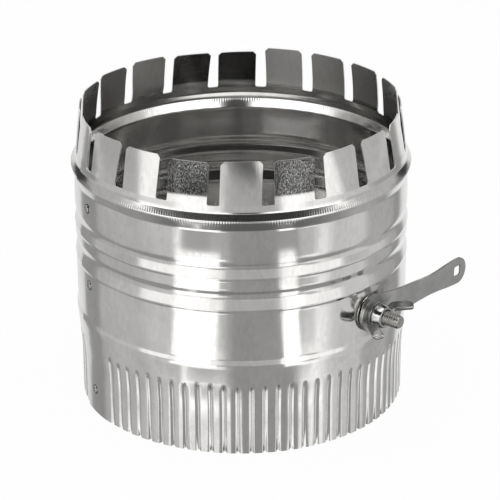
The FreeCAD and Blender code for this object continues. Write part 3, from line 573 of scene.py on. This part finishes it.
def make_tab(number, centre):
    """One tab as rows of points, clipped where the strip ends. Its lean, twist and
    sideways shift grow with the height."""
    low = max(centre - HALF_TAB - FILLET, LAP_START)
    high = min(centre + HALF_TAB + FILLET, LAP_START + LAP_TURN)
    if high - low < 1.0:
        return None
    columns = UPPER[(UPPER > low - 0.01) & (UPPER < high + 0.01)]
    s, turn = np.meshgrid(TAB_ROWS, columns, indexing="ij")
    place = (number + FIRST_TAB) % TABS
    tip, more, sideways, fold = TAB_BENDS[place]
    wide = tab_half_width(s) / (TAB_R * math.radians(HALF_TAB + FILLET))
    off = np.radians(turn - centre) * TAB_R * wide
    share = s / TAB_LENGTH
    inward = tab_inward(s, tip, fold, place in STEEP_ROOTS)
    inward = inward + more * off / 17.0 * share ** 1.5
    radius = NECK_R + lap_lift(turn) - inward
    drop = s * (1 - np.cos(math.atan2(abs(tip), TAB_LENGTH))) * share
    return to_space(centre + np.degrees((off + sideways * share ** 1.5) / radius), radius,
                    SLOT_FLOOR + s - drop)


def tab_mask(points, tabs, start):
    """1 on these tabs above a height over the slot floor, 0 elsewhere, with an S curve
    1.2 mm high between."""
    turn = np.degrees(np.arctan2(points[:, 1], points[:, 0]))
    share = np.zeros(len(points))
    for k in tabs:
        off = (turn - TAB_CENTRES[(k - FIRST_TAB) % TABS] + 180) % 360 - 180
        above = smooth_step((points[:, 2] - SLOT_FLOOR - start) / 1.2)
        share = np.maximum(share, (np.abs(off) < TAB_PITCH / 2) * above)
    return share


wall_points, wall_faces = make_wall()
wall = build("rolled_collar", wall_points, wall_faces, "collar", SHEET,
             ["collar_shell"], smooth=50)
merged = np.empty(3 * len(wall.data.vertices))
wall.data.vertices.foreach_get("co", merged)
merged = merged.reshape(-1, 3) / MM
for label, tabs, start in (("bare_spangle", BARE_TABS, 3.0),
                           ("matt_zinc", MATT_TABS, 1.0)):
    mark = wall.data.attributes.new(label, "FLOAT", "POINT")
    mark.data.foreach_set("value", tab_mask(merged, tabs, start))
shell = wall.modifiers.new("sheet", "SOLIDIFY")
shell.thickness = SHEET_MM * MM
shell.offset = -1.0
shell.use_even_offset = True
shell.material_offset_rim = 1
wall.data.materials.append(CUT_EDGE)
print("wall from", wall_points.min(0).round(2), "to", wall_points.max(0).round(2))

# %% [markdown]
# ## Turned pieces
# Rivet heads, washers, the nut's boss and the stud are round about an axis. Their
# section is a line of (along the axis, radius) that is swept round. The rivets' axis
# points outwards through the lap.

# %% Sweep a section round an axis


def swept(section, steps):
    """Points (along, radius * cos, radius * sin) for every section point and angle."""
    section = np.asarray(section, float)
    angle = np.linspace(0, 2 * math.pi, steps, endpoint=False)
    along = np.repeat(section[:, :1], steps, axis=1)
    return np.stack([along, section[:, 1:] * np.cos(angle),
                     section[:, 1:] * np.sin(angle)], axis=-1)


def on_rod(points):
    """Lifts points that were made about the X axis to the damper rod."""
    return points + np.array([0, 0, ROD_Z])


def outward(points, turn, height):
    """Turns points made along +X to point out of the wall at an angle and a height."""
    a = math.radians(turn)
    x, y, z = np.moveaxis(points, -1, 0)
    return np.stack([x * math.cos(a) - y * math.sin(a),
                     x * math.sin(a) + y * math.cos(a), z + height], axis=-1)


def closed_sweep(points):
    """Faces of a swept section that is closed, or starts and ends on the axis."""
    return [grid_faces(*points.shape[:2], wrap=True)[:, ::-1]]


print("3 points swept in 6 steps:", swept([(0, 1), (1, 1), (1, 0)], 6).shape)

# %% Seam rivets

SEAM_TURN = 246.8
HEAD_R = 2.28


def rivet_section(face_r, inner_r):
    """A low button head outside, a shank and a flat upset head inside. The dome's height
    follows a sine and its radius a flattened cosine of the same angle."""
    t = np.linspace(0, 1, 7)[1:]
    dome = np.stack([face_r + 0.3 + 0.6 * np.sin(t * math.pi / 2),
                     HEAD_R * np.cos(t * math.pi / 2) ** 0.75], axis=-1)
    start = [(inner_r - 0.55, 0.0), (inner_r - 0.55, 1.6), (inner_r - 0.35, 2.1),
             (inner_r - 0.05, 2.2), (inner_r - 0.02, 1.5), (face_r - 0.05, 1.5),
             (face_r - 0.05, 2.15), (face_r + 0.12, HEAD_R), (face_r + 0.3, HEAD_R)]
    return np.concatenate([start, dome])


for label, height, wall_r in (("top", 101.7, BODY_R), ("middle", 64.2, BODY_R),
                              ("bottom", 11.3, CREST_R)):
    grid = outward(swept(rivet_section(wall_r + SHEET_MM, wall_r - SHEET_MM), 32),
                   SEAM_TURN, height)
    build("button_rivet_" + label, grid, closed_sweep(grid), "collar",
          RIVET_METAL, ["seam_rivet_" + label])

# %% Washer under the lever

washer = on_rod(swept([(76.3, 3.3), (76.3, 8.3), (76.4, 8.55), (76.7, 8.7),
                       (77.1, 8.65), (77.36, 8.4), (77.4, 3.5), (77.3, 3.3),
                       (76.3, 3.3)], 72))
build("flat_washer", washer, closed_sweep(washer), "collar",
      WASHER_METAL, ["outer_washer"])

# %% [markdown]
# ## The threaded stud
# A 1/4 in coarse thread climbs 1.27 mm each turn. Its radius falls and rises with the
# distance along the axis less the part of a turn already made, which winds the ridge
# into a helix. A plain core and a rounded end close it.

# %% Stud

PITCH_MM = 1.27
STUD_R = 3.175
CORE_R = 3.17
THREAD_DEPTH = 0.62
STUD_STEPS = 48


def thread_grid(start, end, steps):
    """Thread surface from start to end along the rod: the radius is the crest less the
    thread's depth times a rounded triangle wave, which fades out at both ends, less a
    rounding over the last 0.7 mm."""
    along = np.arange(start, end + 0.01, PITCH_MM / 9)
    angle = np.linspace(0, 2 * math.pi, steps, endpoint=False)
    x, a = np.meshgrid(along, angle, indexing="ij")
    phase = (x / PITCH_MM - a / (2 * math.pi)) % 1
    tooth = np.abs(phase * 2 - 1)
    depth = THREAD_DEPTH * smooth_step(tooth * 1.15 - 0.08)
    fade = smooth_step((x - start) / 0.8) * smooth_step((end - x) / 0.8)
    radius = STUD_R - depth * fade - 0.35 * smooth_step((x - end + 0.7) / 0.7)
    return np.stack([x, radius * np.cos(a), radius * np.sin(a)], axis=-1)


thread = thread_grid(78.6, 92.35, STUD_STEPS)
tip = swept([(92.6, 2.7), (92.72, 2.4), (92.62, 1.5), (92.55, 0.0)], STUD_STEPS)
tail = swept([(73.0, 0.0), (73.0, 4.6), (74.2, 4.6), (74.22, CORE_R), (77.4, CORE_R),
              (78.55, CORE_R)], STUD_STEPS)
stud = on_rod(np.concatenate([tail, thread, tip]))
tang = on_rod(np.array([[x, y, z] for x in (37.97, 73.0) for y in (-6.0, 6.0)
                        for z in (-1.1, 1.1)]))
tang_faces = np.array([[0, 1, 3, 2], [4, 6, 7, 5], [0, 4, 5, 1], [2, 3, 7, 6],
                       [0, 2, 6, 4], [1, 5, 7, 3]]) + stud.shape[0] * stud.shape[1]
build("threaded_stud", np.concatenate([stud.reshape(-1, 3), tang]),
      closed_sweep(stud) + [tang_faces], "damper", STUD_METAL,
      ["drive_stud"], smooth=60)

# %% [markdown]
# ## The lever
# The lever is a pressed strip: a round end over the washer, a step outwards so that it
# clears the bead, a waist, and a wider tip with a square hole. It is a flat grid in two
# parts, the strip and a ring round the hole, which is then moved outwards by the step's
# S curve and given its thickness. A small bevel breaks the sheared edges.

# %% Lever outline

LEVER_X = 77.5
LEVER_THICK = 1.0
LEVER_SPLIT = 54.0
TIP_Y, TIP_CORNER, TIP_HALF = 61.0, 6.0, 6.3
LEVER_END = TIP_Y + TIP_CORNER
HOLE_Y, HOLE_HALF = 60.5, 2.5
LOBE_R = 8.7
LOBE_END = 2.6
BEVEL_MM = 0.18


def lever_half(y):
    """Half width of the strip at a distance along it: a circle round the rod end, then
    a smooth line through the neck, the waist and the tip."""
    circle = np.sqrt(np.maximum(LOBE_R ** 2 - (y + 0.3) ** 2, 0))
    along = np.array([LOBE_END, 6.0, 9.0, 13.0, 18.0, 24.0, 32.0, 39.0, 46.0, 52.0, 58.0,
                      63.0])
    half = np.array([8.2, 7.0, 6.3, 6.0, 5.8, 5.6, 5.1, 4.8, 5.15, 5.8, 6.25, TIP_HALF])
    return np.where(y < LOBE_END, circle, np.interp(y, along, half))


def lever_rise(y):
    """How far the strip's middle line lies above the rod: it was bent up at its neck."""
    return np.interp(y, [-12.0, 2.0, 7.0, 14.0, 22.0, 40.0, 60.0, 67.0],
                     [0.0, 0.1, 1.3, 1.5, 1.1, 0.6, 0.4, 0.4])


def lever_grid():
    """Points (y, z) of the strip and of the ring round the hole, and their faces. The
    ring runs from the tip's outline to a rounded square: the ray to each outer point,
    divided by the sixth root of the sum of its sixth powers."""
    t = np.linspace(0, 1, 15)
    lobe_start = -0.3 - LOBE_R
    stations = np.concatenate([
        lobe_start + (LOBE_END - lobe_start) * (1 - np.cos(t * math.pi / 2)),
        np.arange(4.4, LEVER_SPLIT + 0.1, 1.6)])
    across = np.linspace(-1, 1, 9)
    y, v = np.meshgrid(stations, across, indexing="ij")
    strip = np.stack([y, lever_half(y) * v], axis=-1)
    faces = [grid_faces(len(stations), 9)[:, ::-1]]
    side = np.linspace(stations[-1], TIP_Y, 6)[1:]
    low = np.stack([side, -lever_half(side)], axis=-1)
    turn = np.linspace(-math.pi / 2, 0, 9)[1:-1]
    corner = np.stack([TIP_Y + TIP_CORNER * np.cos(turn), TIP_HALF * np.sin(turn)], axis=-1)
    half_ring = np.concatenate([low, corner])
    outer = np.concatenate([strip[-1], half_ring * [1, -1], [[LEVER_END, 0.0]],
                            half_ring[::-1]])
    ray = outer - [HOLE_Y, 0.0]
    size = (np.abs(ray) ** 6).sum(1) ** (1 / 6)
    inner = ray / size[:, None] * HOLE_HALF + [HOLE_Y, 0.0]
    t = np.linspace(0, 1, 5)[:, None, None]
    ring = outer * (1 - t) + inner * t
    first = strip.shape[0] * strip.shape[1]
    faces.append(grid_faces(5, len(outer), first, wrap=True)[:, ::-1])
    return np.concatenate([strip.reshape(-1, 2), ring.reshape(-1, 2)]), faces


lever_yz, lever_faces = lever_grid()
step_out = 1.3 * smooth_step((lever_yz[:, 0] - 7.0) / 7.0)
lever_z = ROD_Z + lever_yz[:, 1] + lever_rise(lever_yz[:, 0])
lever_points = np.stack([LEVER_X + step_out, lever_yz[:, 0], lever_z], axis=-1)
lever = build("pressed_lever", lever_points, lever_faces, "damper",
              LEVER_METAL, ["lever_handle"])
thick = lever.modifiers.new("strip", "SOLIDIFY")
thick.thickness = LEVER_THICK * MM
thick.offset = 1.0
edge = lever.modifiers.new("sheared_edge", "BEVEL")
edge.width = BEVEL_MM * MM
edge.segments = 2
edge.limit_method = "ANGLE"

# %% Split washer


def split_washer():
    """A square section carried 348 degrees round the stud, its ends 0.12 mm apart
    along the axis."""
    angle = np.radians(np.linspace(-84, 264, 60))
    section = np.array([(78.5, 3.35), (78.5, 5.75), (78.6, 5.9), (79.8, 5.9), (79.95, 5.75),
                        (79.95, 3.35)])
    a, k = np.meshgrid(angle, np.arange(len(section)), indexing="ij")
    x = section[k, 0] + 0.12 * (a - a.min()) / (a.max() - a.min())
    r = section[k, 1]
    return np.stack([x, r * np.cos(a), r * np.sin(a)], axis=-1)


def capped_faces(points):
    """Faces of a closed section carried along a line, with both of its ends closed."""
    rows, around = points.shape[:2]
    cap = np.arange(around)[None, :]
    return [grid_faces(rows, around, wrap=True), cap, (rows - 1) * around + cap[:, ::-1]]


ring = on_rod(split_washer())
build("split_washer", ring, capped_faces(ring), "damper", WASHER_METAL,
      ["lock_washer"])

# %% [markdown]
# ## The wing nut
# A cold-formed nut: a short turned boss with two flat wings that rise away from the
# wall. A wing is a thick plate in the plane of the rod. Its outline is a slanted
# four-sided shape with round corners, and its rim is rounded over. So the wing is the
# outline, shrunk step by step towards its middle, while the height over the middle
# plane follows the rim's section: first up the rounded edge and then over the face.

# %% Wing nut

WING_TURN = math.radians(17.0)
WING_THICK = 1.9
# radius and distance along the rod of the wing's corners, and the corners' rounding
WING_OUTLINE = np.array([(4.6, 80.5, 0.5), (9.6, 80.5, 1.8), (13.7, 87.2, 1.3),
                         (13.8, 90.0, 1.4), (10.9, 92.3, 1.1), (6.4, 84.8, 2.0),
                         (4.2, 84.2, 0.5)])


def wing_points(side):
    """Rings from the middle of the upper face over the rim to the middle of the lower
    face, turned to their place about the rod. Over the rim, the share of the outline
    follows a sine and the height a cosine. The wing thins a little outwards."""
    corners = np.concatenate([WING_OUTLINE[-1:], WING_OUTLINE, WING_OUTLINE[:1]])
    outline = rounded_line(corners, 6)[1:-1]
    middle = np.array([9.2, 86.0])
    t = np.linspace(0, math.pi, 9)
    shrink = np.concatenate([[0.001, 0.5, 0.83, 0.88], 0.91 + 0.09 * np.sin(t),
                             [0.88, 0.83, 0.5, 0.001]])
    high = np.concatenate([[1.0] * 4, np.cos(t), [-1.0] * 4]) * WING_THICK / 2
    flat = middle + (outline - middle) * shrink[:, None, None]
    r, x = flat[..., 0], flat[..., 1]
    h = np.broadcast_to(high[:, None], r.shape) * (1 - 0.018 * (r - 5))
    y = side * (r * math.cos(WING_TURN) - h * math.sin(WING_TURN))
    z = side * (r * math.sin(WING_TURN) + h * math.cos(WING_TURN))
    return np.stack([x, y, z], axis=-1)


boss = swept([(80.2, 3.3), (80.2, 5.4), (80.4, 5.7), (81.0, 5.8), (82.4, 5.5),
              (84.3, 5.05), (84.75, 4.85), (84.95, 4.5), (84.9, 3.9), (84.3, 3.3),
              (80.2, 3.3)], 48)
nut_faces = closed_sweep(boss)
nut_points = [boss.reshape(-1, 3)]
count = len(nut_points[0])
for side in (1.0, -1.0):
    wing = wing_points(side)
    nut_faces.append(grid_faces(*wing.shape[:2], count, wrap=True))
    nut_points.append(wing.reshape(-1, 3))
    count += len(nut_points[-1])
build("forged_wing_nut", on_rod(np.concatenate(nut_points)), nut_faces, "wing_nut",
      NUT_METAL, ["wing_nut"], smooth=55)

# %% [markdown]
# ## End spring
# The coil spring of the sprung end pin is a round wire carried along a helix round the
# pin. It shortens as the pin is pushed in, against its end on the housing's inner ear.

# %% Coil spring

COIL_START, COIL_END = -68.62, -59.12
COIL_R, WIRE_R, COIL_TURNS = 3.15, 0.34, 4.5
COIL_STEPS = 108


def coil_spring(steps, sides=10):
    """A ring of the wire's section at every step: the helix's angle and place along the
    rod grow evenly from end to end."""
    share = np.linspace(0, 1, steps + 1)[:, None]
    turn = 2 * math.pi * COIL_TURNS * share
    k = np.linspace(0, 2 * math.pi, sides, endpoint=False)[None, :]
    first, last = COIL_START + WIRE_R, COIL_END - WIRE_R
    x = first + (last - first) * share + WIRE_R * np.sin(k)
    r = COIL_R + WIRE_R * np.cos(k)
    return np.stack([x, r * np.cos(turn), r * np.sin(turn)], axis=-1)


coil = on_rod(coil_spring(COIL_STEPS))
spring = build("coil_spring", coil, capped_faces(coil), "damper",
               WIRE_METAL, ["end_spring"], smooth=60)
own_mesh(spring)

# %% [markdown]
# ## The pieces that stay as solids
# Blade, backing plate, housing, pin and the small rivets inside keep their CAD shapes
# and only get their metals.

# %% Metals for the solids

KEPT = {"damper_blade": BLADE, "drive_plate": BLADE, "end_bracket": BLADE,
        "drive_rivet_outer": RIVET_METAL, "drive_rivet_inner": RIVET_METAL,
        "end_rivet_front": RIVET_METAL, "end_rivet_rear": RIVET_METAL,
        "inner_washer": WASHER_METAL, "end_washer": WASHER_METAL,
        "end_pin": STUD_METAL}
for name, material in KEPT.items():
    NODES[name].data.materials.clear()
    NODES[name].data.materials.append(material)
print(len(KEPT), "solids keep their shape")

# %% [markdown]
# ## Studio
# Bare metal shows its surroundings, so the studio matters as much as the metal. The
# room is drawn in the world as a function of the direction: dim ground, a lit horizon
# and a dark ceiling with a bright top, and soft upright panels at the angles where the
# photo shows bright or dark stripes. The camera itself sees plain white. Two light
# sheets lie on the table, which only reflections see.

# %% Room light

world = bpy.data.worlds.new("studio_room")
bpy.context.scene.world = world
world.use_nodes = True
tree = world.node_tree
tree.nodes.clear()
to_viewer = (math.cos(math.radians(VIEW_TURN)), math.sin(math.radians(VIEW_TURN)), 0)
to_right = (-to_viewer[1], to_viewer[0], 0)
view = add_node(tree, "TexCoord").outputs["Generated"]
along = add_node(tree, "VectorMath", {0: view, 1: to_right}, operation="DOT_PRODUCT")
near = add_node(tree, "VectorMath", {0: view, 1: to_viewer}, operation="DOT_PRODUCT")
around = add_node(tree, "Math", {0: along.outputs["Value"], 1: near.outputs["Value"]},
                  operation="ARCTAN2")
up = add_node(tree, "SeparateXYZ", {"Vector": view}).outputs["Z"]
height = add_node(tree, "Math", {0: up}, operation="ARCSINE")


def panel(level, turn, half, soft, low, high, strength):
    """Paints one panel over the room. Its share is the product of three soft steps from
    1 to 0: over soft degrees at its sides, and over six degrees at its foot and head."""
    off = add_node(tree, "Math", {0: around, 1: math.radians(turn)}, operation="SUBTRACT")
    gap = add_node(tree, "Math", {0: off}, operation="ABSOLUTE")
    share = 1.0
    for angle, start, end, first, last in ((gap, half, half + soft, 1.0, 0.0),
                                           (height, low - 3, low + 3, 0.0, 1.0),
                                           (height, high - 3, high + 3, 1.0, 0.0)):
        step = add_node(tree, "MapRange", {"Value": angle, 1: math.radians(start),
                                           2: math.radians(end), 3: first, 4: last},
                        interpolation_type="SMOOTHSTEP")
        share = add_node(tree, "Math", {0: share, 1: step}, operation="MULTIPLY")
    return add_node(tree, "Mix", {0: share, 2: level, 3: strength})


# each panel: its middle counted from the camera, half its width, its soft edge, its foot
# and its head (degrees), and its brightness; later ones lie over earlier ones
PANELS = [
    # upright panels below the horizon
    (-14, 4, 5, -42, -8, 0.52), (-43.5, 1.5, 2, -90, -8, 1.35),
    (-62, 12, 8, -38, -8, 0.72), (-90, 14, 14, -38, -8, 0.6),
    (-160, 20, 2, -60, -8, 0.85), (46, 4, 4, -38, -8, 0.64),
    (60, 6, 4, -40, -8, 1.15), (82, 14, 10, -38, -8, 0.76),
    (112, 12, 8, -50, -8, 0.5), (162, 14, 10, -60, -8, 0.95),
    # what the flutes and their crests mirror
    (-27, 14, 3, -36, -27.5, 1.5), (50, 6, 2, -36, -27.5, 1.4),
    # the lit horizon, brighter over the camera's side and dimmer at the sides
    (0, 180, 1, -8, 26, 1.35), (0, 76, 4, 14, 28, 2.1),
    (104, 30, 6, -8, 24, 0.62), (-104, 30, 6, -8, 24, 0.55),
    # the dark ceiling, dark stands behind, two side windows and the bright top
    (0, 180, 1, 28, 90, 0.03), (155, 26, 6, -6, 13, 0.05),
    (-152, 28, 6, -6, 13, 0.05), (98, 26, 6, 32, 60, 0.5),
    (-89, 20, 5, 32, 60, 0.5), (0, 180, 1, 68, 90, 0.9),
    # the camera and its stand, between two bright panels
    (7, 17, 4, -8, 7, 0.55), (4, 9, 4, 7, 26, 0.06),
    (-32, 11, 2, -16, 16, 1.6), (35, 7, 2, -16, 16, 1.5)]
# the ground gets brighter from 60 to 50 degrees below the horizon
level = add_node(tree, "MapRange", {"Value": height, 1: math.radians(-60),
                                    2: math.radians(-50), 3: 0.14, 4: 0.38},
                 interpolation_type="SMOOTHSTEP")
for spec in PANELS:
    level = panel(level, *spec)
print(len(PANELS), "panels in the room")
dim = add_node(tree, "Background", {"Color": level, "Strength": 1.0})
white = add_node(tree, "Background", {"Color": (1, 1, 1, 1), "Strength": 1.0})
ray = add_node(tree, "LightPath").outputs["Is Camera Ray"]
both = add_node(tree, "MixShader", {0: ray, 1: dim, 2: white})
add_node(tree, "OutputWorld", {"Surface": both})

# %% Light sheets on the table

SHEET_RISE = 0.0004


def light_sheet(name, turn, width, inner, outer, strength):
    """A flat ring sector on the table, angles in degrees from the camera's side, radii
    in metres, seen only by reflections."""
    angle = np.radians(VIEW_TURN + np.linspace(turn - width / 2, turn + width / 2, 9))
    a, r = np.meshgrid(angle, [inner, outer])
    points = np.stack([r * np.cos(a), r * np.sin(a), 0 * r + SHEET_RISE], axis=-1)
    mesh = bpy.data.meshes.new(name)
    mesh.from_pydata(points.reshape(-1, 3).tolist(), [], grid_faces(2, 9).tolist())
    material = bpy.data.materials.new(name)
    material.use_nodes = True
    nodes = material.node_tree
    nodes.nodes.clear()
    glow = add_node(nodes, "Emission", {"Strength": strength})
    add_node(nodes, "OutputMaterial", {"Surface": glow})
    mesh.materials.append(material)
    sheet = bpy.data.objects.new(name, mesh)
    bpy.context.scene.collection.objects.link(sheet)
    sheet.visible_camera = False
    sheet.visible_diffuse = False
    sheet.visible_shadow = False
    sheet.visible_transmission = False


light_sheet("sheet_left", -25.8, 26, 0.14, 0.30, 1.7)
light_sheet("sheet_right", 27.4, 9.5, 0.14, 0.30, 1.6)
print("two light sheets on the table")

# %% Floor and lamp

REACH = 4
PAPER_GLOW = 0.97
floor_mesh = bpy.data.meshes.new("table")
floor_mesh.from_pydata([(-REACH, -REACH, 0), (REACH, -REACH, 0), (REACH, REACH, 0),
                        (-REACH, REACH, 0)], [], [(0, 1, 2, 3)])
table = bpy.data.objects.new("table", floor_mesh)
bpy.context.scene.collection.objects.link(table)
paper = bpy.data.materials.new("white_table_paper")
paper.use_nodes = True
tree = paper.node_tree
tree.nodes.clear()
matt = add_node(tree, "BsdfDiffuse", {"Color": (0.9, 0.9, 0.9, 1)})
bright = add_node(tree, "Emission", {"Strength": 1.0})
ray = add_node(tree, "LightPath").outputs["Is Camera Ray"]
seen = add_node(tree, "Math", {0: ray, 1: PAPER_GLOW}, operation="MULTIPLY")
both = add_node(tree, "MixShader", {0: seen, 1: matt, 2: bright})
add_node(tree, "OutputMaterial", {"Surface": both})
floor_mesh.materials.append(paper)
table.visible_glossy = False

lamp = bpy.data.lights.new("overhead_softbox", "AREA")
lamp.shape = "RECTANGLE"
lamp.size = 1.6
lamp.size_y = 1.2
lamp.energy = 9.0
softbox = bpy.data.objects.new("overhead_softbox", lamp)
softbox.location = (-0.15, -0.1, 1.5)
softbox.rotation_euler = (math.radians(-4), math.radians(-6), 0)
bpy.context.scene.collection.objects.link(softbox)
print("table", 2 * REACH, "m wide, lamp at", tuple(softbox.location))

# %% [markdown]
# ## Camera
# The camera looks down by 23.9 degrees from 1.16 m away, at 40.5 degrees to the rod. Its
# axes follow from those two angles, and a quarter of a degree of roll is added.

# %% Camera

AZIMUTH = math.radians(40.5)
ELEVATION = math.radians(23.90)
ROLL = math.radians(-0.218)
AWAY, SIDE, RISE = 1.15595, 0.003953, 0.06063
FOCAL_PX, IMAGE_PX, SENSOR_MM = 2433.1, 500, 36
to_part = Matrix.Rotation(AZIMUTH, 3, "Z")
ahead = to_part @ Vector((0, math.cos(ELEVATION), -math.sin(ELEVATION)))
right = to_part @ Vector((1, 0, 0))
above = to_part @ Vector((0, math.sin(ELEVATION), math.cos(ELEVATION)))
place = ahead * -AWAY + right * SIDE + above * RISE
right_rolled = right * math.cos(ROLL) + above * math.sin(ROLL)
above_rolled = above * math.cos(ROLL) - right * math.sin(ROLL)
pose = Matrix((right_rolled, above_rolled, -ahead)).transposed().to_4x4()
pose.translation = place
lens = bpy.data.cameras.new("product_camera")
lens.lens = FOCAL_PX / IMAGE_PX * SENSOR_MM
lens.sensor_width = SENSOR_MM
lens.clip_end = 20
camera = bpy.data.objects.new("product_camera", lens)
camera.matrix_world = pose
bpy.context.scene.collection.objects.link(camera)
bpy.context.scene.camera = camera
bpy.context.scene.view_settings.view_transform = "Standard"
print("camera at", tuple(round(v, 4) for v in place))
